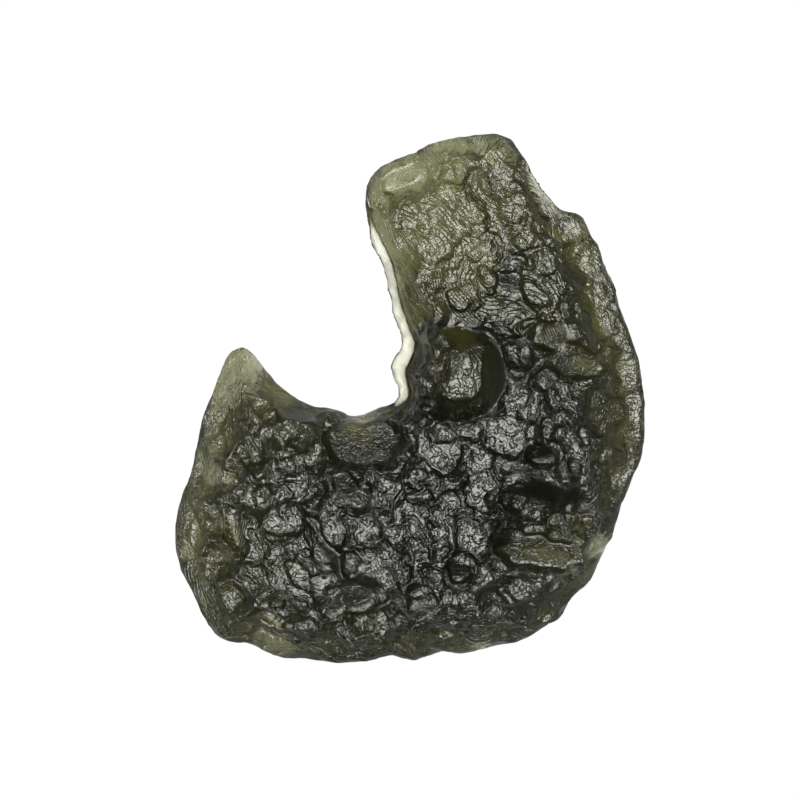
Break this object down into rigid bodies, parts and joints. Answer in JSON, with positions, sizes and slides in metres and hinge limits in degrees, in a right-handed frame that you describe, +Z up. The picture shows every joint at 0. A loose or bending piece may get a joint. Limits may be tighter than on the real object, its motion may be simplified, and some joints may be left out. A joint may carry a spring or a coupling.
{
  "type": "moldavite",
  "caption": "Natural bottle-green tektite glass, a curved lump with a blunt arm and a pointed horn, etched all over with pits and grooves.",
  "frame": {"origin": "on the surface it rests on, under the middle of its bounding box", "axes": "+Z up out of the etched top face, +Y along the stone's length towards the end of its blunt arm, +X from the pointed horn towards the outer flank"},
  "size_m": [0.0266, 0.03, 0.0098],
  "materials": {
    "moldavite_glass": "see-through bottle-green natural glass with an etched, half-glossy skin"
  },
  "bodies": {
    "root": {"moldavite": "moldavite_glass"}
  },
  "joints": []
}
